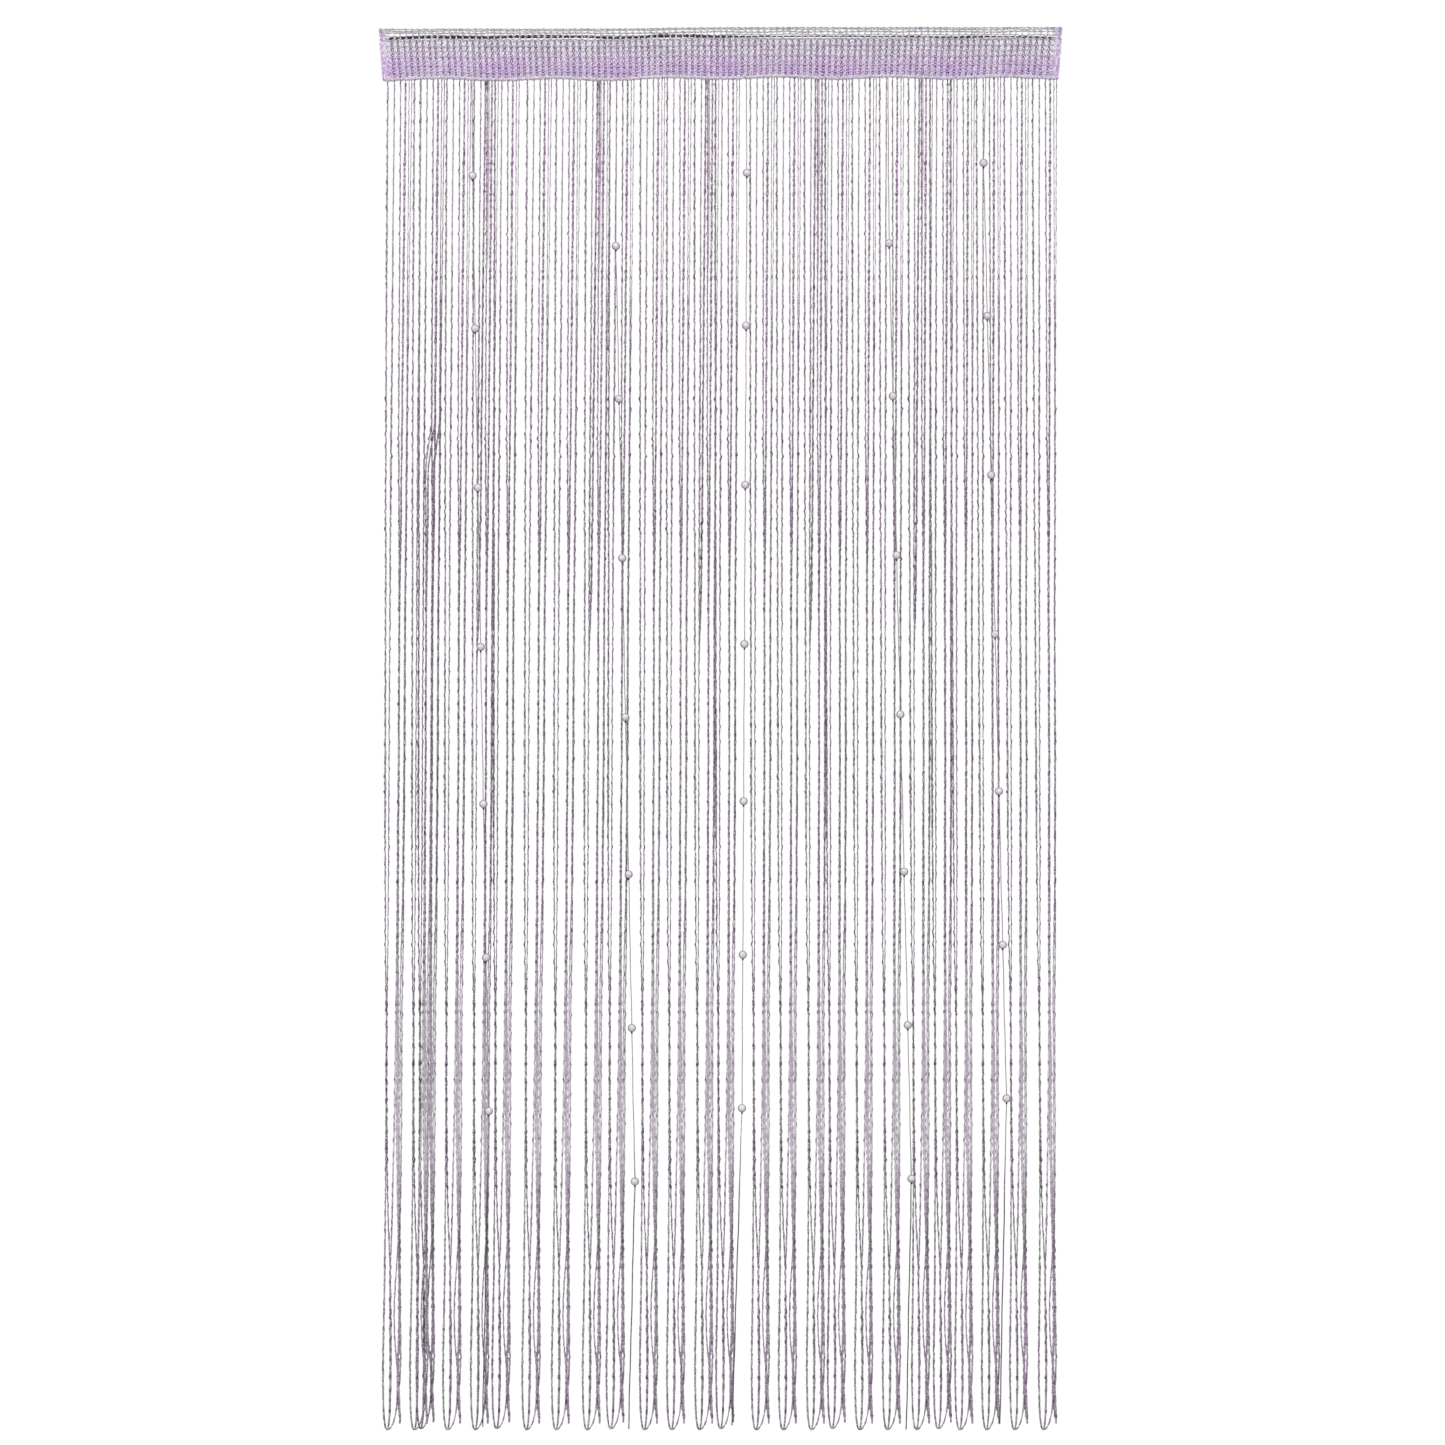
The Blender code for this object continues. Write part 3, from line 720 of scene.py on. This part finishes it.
# %% [markdown]
# ## The net heading
#
# The heading is two layers of coarse net. Its uprights are chains of two yarns that cross again and
# again, about 9 mm apart, and thin cross threads pass in front of them at uneven heights. The back
# layer's uprights stand in the gaps of the front ones, so that the cells look nearly filled, except
# along the top, where there is one layer only and the wall behind shows through.

# %% Net layers
TOP_WIDTH, BOTTOM_WIDTH = 972 * MM, 959 * MM
BACK_DEPTH = 7.2 * MM
COLUMNS = 107
SELVEDGE = 9.5 * MM
SELVEDGE_THREADS = MM * np.array([1.0, 3.2, 5.4, 7.6])
# Cross threads: drop and radius in mm, from the top edge cord down
CROSS_THREADS = (
    (0.9, 0.9), (2.9, 0.85), (6.4, 1.0), (10.6, 0.8), (16.0, 0.8), (18.4, 0.75), (25.8, 0.8), (33.0, 0.8),
    (40.2, 0.8), (47.0, 0.8), (52.2, 0.75), (56.6, 0.75), (60.6, 0.75), (64.2, 0.75), (67.4, 0.7),
    (69.4, 0.6),
)
# Uprights by drop: half the distance between a chain's two yarns, their radius and how much they bulge
CHAIN_SPREAD = (
    (0, 0.8), (6, 0.8), (8, 0.5), (12, 0.35), (14, 0.35), (17.5, 0.95), (46, 0.95), (54, 1.1), (71, 1.3),
)
CHAIN_RADIUS = (
    (0, 0.9), (6, 0.9), (8, 0.85), (12, 0.7), (14, 0.65), (17.5, 1.15), (46, 1.1), (54, 1.1), (71, 1.1),
)
CHAIN_BULGE = ((0, 0.1), (14, 0.1), (18, 0.75), (48, 0.75), (60, 0.65), (71, 0.4))


def heading_place(across, drop, depth):
    """Points of the heading from across (-1 to 1) and drop: the sides slant in, the lower rows follow
    the dips of the bottom edge, the left third hangs a little lower, and soft folds run down."""
    half = (TOP_WIDTH + (BOTTOM_WIDTH - TOP_WIDTH) * drop / HEADING_HEIGHT) / 2
    x = across * half
    low = soft((drop - 20 * MM) / (HEADING_HEIGHT - 20 * MM))
    sag = 2.2 * MM * soft((40 * MM - x) / (240 * MM))
    return np.stack([x, depth + heading_fold(x), -drop - heading_dip(x) * low - sag], axis=-1)


def uprights(random, top, depth, shift, spread, radius):
    """Chains of two yarns side by side. They stand apart by the spread, bulge by a cosine that is lowest
    at every cross thread, and sway in depth by its sine, so that each stitch of a chain is an oval."""
    half = TOP_WIDTH / 2
    inner = np.linspace(-1, 1, COLUMNS) * (1 - (SELVEDGE + 2 * MM) / half) + shift / half
    inner += random.normal(0, 0.3, COLUMNS) * MM / half
    edge = 1 - SELVEDGE_THREADS / half
    places = np.concatenate([-edge, inner, edge])
    drops = np.linspace(top, HEADING_HEIGHT - 1.2 * MM, int((HEADING_HEIGHT - top) / (1.25 * MM)))
    rows = MM * np.array(CROSS_THREADS)[:, 0]
    stitch = np.interp(drops, rows, np.arange(len(rows)))
    angle = 2 * np.pi * stitch + random.normal(0, 0.25, (len(places), 1))
    tubes = []
    for side in (-1, 1):
        apart = spread * (by_drop(drops, CHAIN_SPREAD) - by_drop(drops, CHAIN_BULGE) * np.cos(angle))
        sideways = side * apart * MM + random.normal(0, 0.12, angle.shape) * MM
        deep = depth + 0.35 * MM * np.sin(angle + side)
        path = heading_place(places[:, None] + sideways / half, np.broadcast_to(drops, angle.shape), deep)
        widths = radius * by_drop(drops, CHAIN_RADIUS) * MM * random.normal(1, 0.13, angle.shape)
        tubes.append(tube_arrays(path, np.clip(widths, 0.4 * MM, None), 4))
    return tubes


def cross_threads(random, depth, rows, step_length):
    """Threads along the width at the given rows, in front of each upright and behind between them."""
    half = TOP_WIDTH / 2
    drops, radii = (MM * np.array(column)[:, None] for column in zip(*rows))
    across = np.linspace(-1, 1, int(TOP_WIDTH / step_length)) * (1 - 0.9 * MM / half)
    shape = (len(rows), len(across))
    stations = np.linspace(-1, 1, 56)
    drift = np.array([np.interp(across, stations, random.normal(0, 0.5, 56)) for _ in rows]) * MM
    pitch = 2 * (half - SELVEDGE - 2 * MM) / (COLUMNS - 1)
    wave = -np.cos(across * half * 2 * np.pi / pitch + 0.6 * (-1.0) ** np.arange(len(rows))[:, None])
    levels = np.clip(drops + drift * (drops > 2 * MM) + 0.35 * MM * wave, 0.8 * MM, None)
    path = heading_place(np.broadcast_to(across, shape), levels, depth + 1.5 * MM * wave)
    widths = radii * random.normal(1, 0.18, shape).clip(0.6, 1.5)
    return tube_arrays(path, widths, 4)


def net_masks(points, threads_across):
    """Tone and knot of net points: purple gathers low down and where the edge dips, in patches, and
    the cross threads are darker than the chains."""
    x, drop = points[:, 0], -points[:, 2]
    dips = heading_dip(x) / DIP_DEPTH
    patches = 0.5 + 0.5 * np.sin(x / (9 * MM)) * np.sin(x / (31 * MM) + 1.3)
    low = soft((drop - 30 * MM) / (26 * MM))
    edge = soft((np.abs(x) - TOP_WIDTH / 2 + 14 * MM) / (6 * MM))
    body = 0.15 * soft((drop - 14 * MM) / (5 * MM))
    hem = soft((drop - 67 * MM) / (4 * MM))
    tone = np.maximum(body + low * (0.3 + 0.35 * patches + 0.2 * dips) * (1 - 0.4 * hem), 0.5 * edge)
    crossing = np.arange(len(points)) >= len(points) - threads_across
    knot = np.where(crossing, 0.45 * (1 - low), 0.12 * soft((16 * MM - drop) / (3 * MM)))
    return {"tone": tone, "knot": knot}


FRONT_NET = yarn("front_net_yarn", (0.98, 0.95, 0.99), (0.92, 0.86, 0.96), (0.78, 0.53, 0.92),
                 shadow=(0.14, 0.10, 0.17), glint=(0.99, 0.97, 1.0), flecks=0.3, glints=0.5, twist=1100.0,
                 fleck_scale=400.0, stretch=1.0, grooves=0.15)
BACK_NET = yarn("back_net_yarn", (0.76, 0.65, 0.83), (0.66, 0.53, 0.74), (0.64, 0.37, 0.80), flecks=0.35,
                shadow=(0.10, 0.07, 0.13), glints=0.4, glint=(0.98, 0.97, 0.99), twist=1100.0,
                fleck_scale=400.0, stretch=1.0, grooves=0.1)


def net_layer(layer, finish, seed, top, depth, shift, spread, radius, rows):
    """One layer of net as a piece."""
    random = np.random.default_rng(seed)
    across = cross_threads(random, depth, rows, 2.4 * MM)
    tubes = joined_tubes(*uprights(random, top, depth, shift, spread, radius), across)
    masks = net_masks(tubes["points"], len(across["points"]))
    piece = thread_piece(f"net_{layer}_threads", tubes, finish, "net_tape", **masks)
    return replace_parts(piece, f"net_{layer}")


front_net = net_layer("front", FRONT_NET, 5, 0.9 * MM, 0.0, 0.0, 1.0, 1.0, CROSS_THREADS)
back_net = net_layer("back", BACK_NET, 6, 14.5 * MM, BACK_DEPTH, 4.45 * MM, 1.0, 0.95, CROSS_THREADS[6::2])

# %% [markdown]
# ## The seam and the dark cord
#
# Below, a zigzag of stitches closes the pocket and catches the strings. Above, a dark cord lies inside
# the pocket behind the uprights, so it shows as a row of black dashes. It is thick in some places and
# thin in others.

# %% Seam stitches and dark cord


def seam_stitches():
    """Zigzag threads along the bottom edge, four of them, a quarter of a stitch apart. Each loop of a
    thread has its own height."""
    random = np.random.default_rng(12)
    half = BOTTOM_WIDTH / 2 - 1.5 * MM
    pitch = 4.6 * MM
    x = np.arange(-half, half, pitch / 8)
    phase = np.arange(4)[:, None] * np.pi / 2
    stations = np.arange(-half, half, pitch / 2)
    height = np.array([np.interp(x, stations, random.normal(1, 0.35, len(stations))) for _ in range(4)])
    drop = HEADING_HEIGHT - 1.8 * MM + 2.1 * MM * height * np.sin(2 * np.pi * x / pitch + phase)
    depth = POCKET_MIDDLE - 2.6 * MM + 2.2 * MM * np.cos(2 * np.pi * x / pitch + phase)
    path = heading_place(np.broadcast_to(x / (BOTTOM_WIDTH / 2), drop.shape), drop, depth)
    return tube_arrays(path, 0.62 * MM * random.normal(1, 0.12, path.shape[:2]), 4)


SEAM_YARN = yarn("seam_yarn", (0.98, 0.96, 0.99), (0.93, 0.90, 0.96), (0.84, 0.70, 0.92),
                 shadow=(0.3, 0.25, 0.34), flecks=0.25, glints=0.5, glint=(0.97, 0.95, 0.99),
                 fleck_scale=400.0, stretch=1.0)
seam_tubes = seam_stitches()
seam = thread_piece(
    "seam_stitches", seam_tubes, SEAM_YARN, "net_tape", tone=net_masks(seam_tubes["points"], 0)["tone"] * 0.9
)
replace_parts(seam, "string_fringe")

# Place along the width, drop and radius of the dark cord, in mm
DARK_CORD = MM * np.array([
    (-476, 17.0, 1.0), (-447, 14.8, 1.4), (-410, 13.4, 1.5), (-380, 14.4, 1.4), (-330, 14.4, 1.3),
    (-300, 13.2, 1.4), (-260, 13.0, 1.5), (-190, 13.4, 1.2), (-155, 15.2, 1.1), (-125, 14.2, 1.2),
    (-95, 12.4, 1.4), (-40, 12.2, 1.5), (-10, 13.2, 1.2), (20, 13.2, 0.9), (60, 13.0, 0.6),
    (180, 12.8, 0.55), (300, 13.8, 0.65), (325, 14.7, 1.1), (350, 13.8, 1.1), (375, 13.2, 0.8),
    (400, 13.4, 0.6), (440, 14.0, 0.7), (455, 15.0, 1.3), (476, 15.6, 1.2),
])


def dark_cord():
    """The cord inside the top of the pocket, through the places of its table."""
    random = np.random.default_rng(9)
    x = np.linspace(DARK_CORD[0, 0], DARK_CORD[-1, 0], 640)
    drop = np.interp(x, DARK_CORD[:, 0], DARK_CORD[:, 1]) + 0.2 * MM * np.sin(x / (1.9 * MM))
    path = np.stack([x, POCKET_MIDDLE - 1.6 * MM + heading_fold(x), -drop], axis=-1)
    widths = 1.75 * np.interp(x, DARK_CORD[:, 0], DARK_CORD[:, 2]) * random.normal(1, 0.1, len(x))
    return tube_arrays(path[None], widths[None], 6)


CORD_YARN = yarn("dark_cord_yarn", (0.03, 0.026, 0.034), (0.014, 0.012, 0.016), (0.03, 0.02, 0.035),
                 glints=0.1)
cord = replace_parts(thread_piece("dark_cord", dark_cord(), CORD_YARN, "dark_cord"), "heading_cord")

# %% [markdown]
# ## Pearls
#
# A pearl is a ball with a dimple at each end of its bore, held by a small knot below it. The finish is
# a lilac-grey body under a clear coat, with painted shade that makes it nearly black at the rim, as
# Layer Weight gives. The thread between pearls is smooth and thin, and thicker and darker below the last
# one.

# %% Pearl threads
PEARL_RADIUS = 5.9 * MM
PEARL_LANE = POCKET_MIDDLE - 13.6 * MM
THREAD_END_LANE = POCKET_MIDDLE - 9.0 * MM
# Drops of a string's pearls below its first one
PEARL_STEPS = MM * np.array([0, 217, 443, 669, 892, 1110, 1328])
# Columns, in mm: place of the root, drop of the first pearl, place of the first and the last pearl,
# place and drop of the lower end
PEARL_STRINGS = MM * np.array([
    (-353.5, 213, -352, -329, -338, 1990),
    (-148.0, 313, -148.5, -121.5, -130.5, 1993),
    (36.5, 209, 37.5, 30.5, 16.5, 1988),
    (238.0, 309, 239.5, 271.0, 264.0, 1994),
    (377.5, 195, 373.5, 406.0, 397.0, 1986),
])


def pearl_centres(row):
    """Centres of a string's seven pearls, down a slightly leaning line."""
    x = row[2] + (row[3] - row[2]) * PEARL_STEPS / PEARL_STEPS[-1]
    return np.stack([x, np.full(len(x), PEARL_LANE), -row[1] - PEARL_STEPS], axis=-1)


def pearl_thread(row):
    """Path of a pearl thread: from the seam forward to the pearls' lane, through them, and down."""
    root = np.array([[row[0], POCKET_MIDDLE - 1.3 * MM, -HEADING_HEIGHT + 1 * MM]])
    low = np.array([[row[4], THREAD_END_LANE, -row[5]]])
    stations = np.concatenate([root, pearl_centres(row), low])
    z = np.linspace(stations[0, 2], stations[-1, 2], 320)
    x = np.interp(-z, -stations[:, 2], stations[:, 0])
    y = np.interp(-z, -stations[:, 2], stations[:, 1])
    x = x + 0.35 * MM * np.sin(z / (47 * MM) + row[0] * 90) * np.sin(z / (19 * MM))
    return np.stack([x, y, z], axis=-1)


def ball_tubes(centres, radius, dimple, rings=14, sides=20):
    """Tube arrays of many balls. At angle t from the top a ring lies at height cos(t) times the radius,
    sunk near the poles by the dimple, and is sin(t) times the radius wide."""
    t = np.linspace(0.06, np.pi - 0.06, rings)
    a = -2 * np.pi * np.arange(sides) / sides
    height = np.cos(t) * (radius - dimple * np.exp(-((np.sin(t) / 0.22) ** 2)))
    wide = np.sin(t)[:, None] * radius
    level = np.broadcast_to(height[:, None], (rings, sides))
    grid = np.stack([wide * np.cos(a), wide * np.sin(a), level], -1)
    axis = np.stack([0 * t, 0 * t, -t], -1)
    axes = np.broadcast_to(axis, (len(centres), rings, 3))
    tubes = tube_arrays(axes, np.ones((len(centres), rings)), sides)
    tubes["points"] = (centres[:, None, None, :] + grid).reshape(-1, 3)
    return tubes


def pearl_finish():
    """Lilac-grey body with faint clouds, painted shade nearly black at the rim, under a clear coat."""
    made = bpy.data.materials.new("pearl_finish")
    made.use_nodes = True
    tree = made.node_tree
    shader = tree.nodes["Principled BSDF"]
    cloud = step(tree, noise(tree, 260.0, 3.0), 0.35, 0.7)
    body = mixed(tree, cloud, (0.86, 0.80, 0.87), (0.66, 0.58, 0.68))
    painted_rim_shade = tree.nodes.new("ShaderNodeLayerWeight")
    painted_rim_shade.inputs["Blend"].default_value = 0.5
    # Painted shade: towards the rim the body is mixed to near black by Layer Weight's Facing
    body = mixed(tree, step(tree, painted_rim_shade.outputs["Facing"], 0.15, 0.75), body, (0.05, 0.04, 0.055))
    feed(tree.links, shader, "Base Color", body)
    shader.inputs["Roughness"].default_value = 0.35
    shader.inputs["Coat Weight"].default_value = 0.9
    shader.inputs["Coat Roughness"].default_value = 0.08
    return made


PEARL_FINISH = pearl_finish()
THREAD_YARN = yarn("pearl_thread_yarn", (0.40, 0.35, 0.40), (0.30, 0.26, 0.30), (0.07, 0.06, 0.07),
                   flecks=0.3, glints=0.2, twist=1500.0)
all_pearls = np.concatenate([pearl_centres(row) for row in PEARL_STRINGS])
thread_paths = np.stack([pearl_thread(row) for row in PEARL_STRINGS])
# The tail below the last pearl is thicker and darker
tail = soft((-thread_paths[..., 2] - 1560 * MM) / (120 * MM))
thread_tubes = tube_arrays(thread_paths, (0.7 + 0.25 * tail) * MM, 6)
thread_tone = tail[..., None] * np.ones(6)
threads = thread_piece("pearl_threads", thread_tubes, THREAD_YARN, "pearl", tone=thread_tone)
pearls = thread_piece("pearls", ball_tubes(all_pearls, PEARL_RADIUS, 0.8 * MM), PEARL_FINISH, "pearl")
KNOT_RADIUS = 1.5 * MM
knot_centres = all_pearls - np.array([0, 0, PEARL_RADIUS + 0.6 * KNOT_RADIUS])
knots = thread_piece("pearl_knots", ball_tubes(knot_centres, KNOT_RADIUS, 0.0, 7, 8), CORD_YARN, "pearl")
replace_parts(threads, *[f"pearl_string_{number}" for number in range(1, 6)])

# %% [markdown]
# ## Cloth
#
# The two net layers are the only sheets. They were cut as straight strips of tape as long as the
# curtain is wide, and everything else is sewn to them.

# %% [markdown]
# ## Floor, light and camera
#
# The photograph is a plain catalogue shot: white all round, light from every side, a little more from
# above and from the left, and the camera straight in front. A long lens some metres away keeps the
# strings parallel. Thin strings against a white ground are easily washed out, so the ground is exactly
# white to the camera and gives less light than it shows. Light Path tells the two apart.

# %% Stage and camera
IMAGE_SIDE = 1445
TOP_EDGE_PIXEL = 27
CENTRE_PIXEL = 720.5
METRES_PER_PIXEL = TOTAL_DROP / 1406
CAMERA_DISTANCE = 5.0
SENSOR = 36.0
FLOOR_HEIGHT = -2.08


def white_floor():
    """A wide pale floor that looks white to the camera and throws back a softer light."""
    made = bpy.data.materials.new("white_floor")
    made.use_nodes = True
    tree = made.node_tree
    shader = tree.nodes["Principled BSDF"]
    shader.inputs["Base Color"].default_value = (0.02, 0.02, 0.02, 1)
    shader.inputs["Roughness"].default_value = 1.0
    shader.inputs["Specular IOR Level"].default_value = 0.0
    seen = tree.nodes.new("ShaderNodeLightPath").outputs["Is Camera Ray"]
    paper = mixed(tree, step(tree, noise(tree, 3.0), 0.0, 1.0), (1.0, 1.0, 1.0), (0.985, 0.985, 0.985))
    feed(tree.links, shader, "Emission Color", mixed(tree, seen, (0.45, 0.45, 0.45), paper))
    shader.inputs["Emission Strength"].default_value = 1.0
    mesh = bpy.data.meshes.new("floor")
    reach = 30.0
    corners = [(-reach, -reach), (reach, -reach), (reach, reach), (-reach, reach)]
    mesh.from_pydata([(x, y, FLOOR_HEIGHT) for x, y in corners], [], [(0, 1, 2, 3)])
    mesh.materials.append(made)
    floor = bpy.data.objects.new("floor", mesh)
    bpy.context.scene.collection.objects.link(floor)


def studio_world():
    """White to the camera. As light, brighter from above than from below."""
    world = bpy.data.worlds.new("studio")
    world.use_nodes = True
    tree = world.node_tree
    ground = tree.nodes["Background"]
    place = tree.nodes.new("ShaderNodeTexCoord")
    split = tree.nodes.new("ShaderNodeSeparateXYZ")
    feed(tree.links, split, 0, place.outputs["Generated"])
    height = step(tree, split.outputs["Z"], -1.0, 1.0)
    seen = tree.nodes.new("ShaderNodeLightPath").outputs["Is Camera Ray"]
    soft_light = mixed(tree, height, (0.4, 0.4, 0.41), (1.0, 1.0, 0.99))
    feed(tree.links, ground, "Color", mixed(tree, seen, soft_light, (1.0, 1.0, 1.0)))
    bpy.context.scene.world = world


def area_light(name, place, aim, size, power):
    """A square soft light that looks at a point."""
    lamp = bpy.data.lights.new(name, "AREA")
    lamp.size = size
    lamp.energy = power
    light = bpy.data.objects.new(name, lamp)
    light.location = place
    light.rotation_euler = (Vector(aim) - Vector(place)).to_track_quat("-Z", "Y").to_euler()
    bpy.context.scene.collection.objects.link(light)


white_floor()
studio_world()
area_light("soft_box", (-2.1, -3.4, 1.5), (0, 0, -0.9), 2.2, 64)
area_light("spark", (2.3, -3.9, -0.6), (0, 0, -0.9), 0.55, 16)

lens = bpy.data.cameras.new("camera")
lens.sensor_width = SENSOR
lens.lens = SENSOR * CAMERA_DISTANCE / (IMAGE_SIDE * METRES_PER_PIXEL)
camera = bpy.data.objects.new("camera", lens)
middle_x = (IMAGE_SIDE / 2 - CENTRE_PIXEL) * METRES_PER_PIXEL
middle_z = -(IMAGE_SIDE / 2 - TOP_EDGE_PIXEL) * METRES_PER_PIXEL
camera.location = (middle_x, -CAMERA_DISTANCE, middle_z)
camera.rotation_euler = (np.pi / 2, 0, 0)
bpy.context.scene.collection.objects.link(camera)
bpy.context.scene.camera = camera
bpy.context.scene.view_settings.view_transform = "Standard"
print("lens", round(lens.lens, 1), "mm")
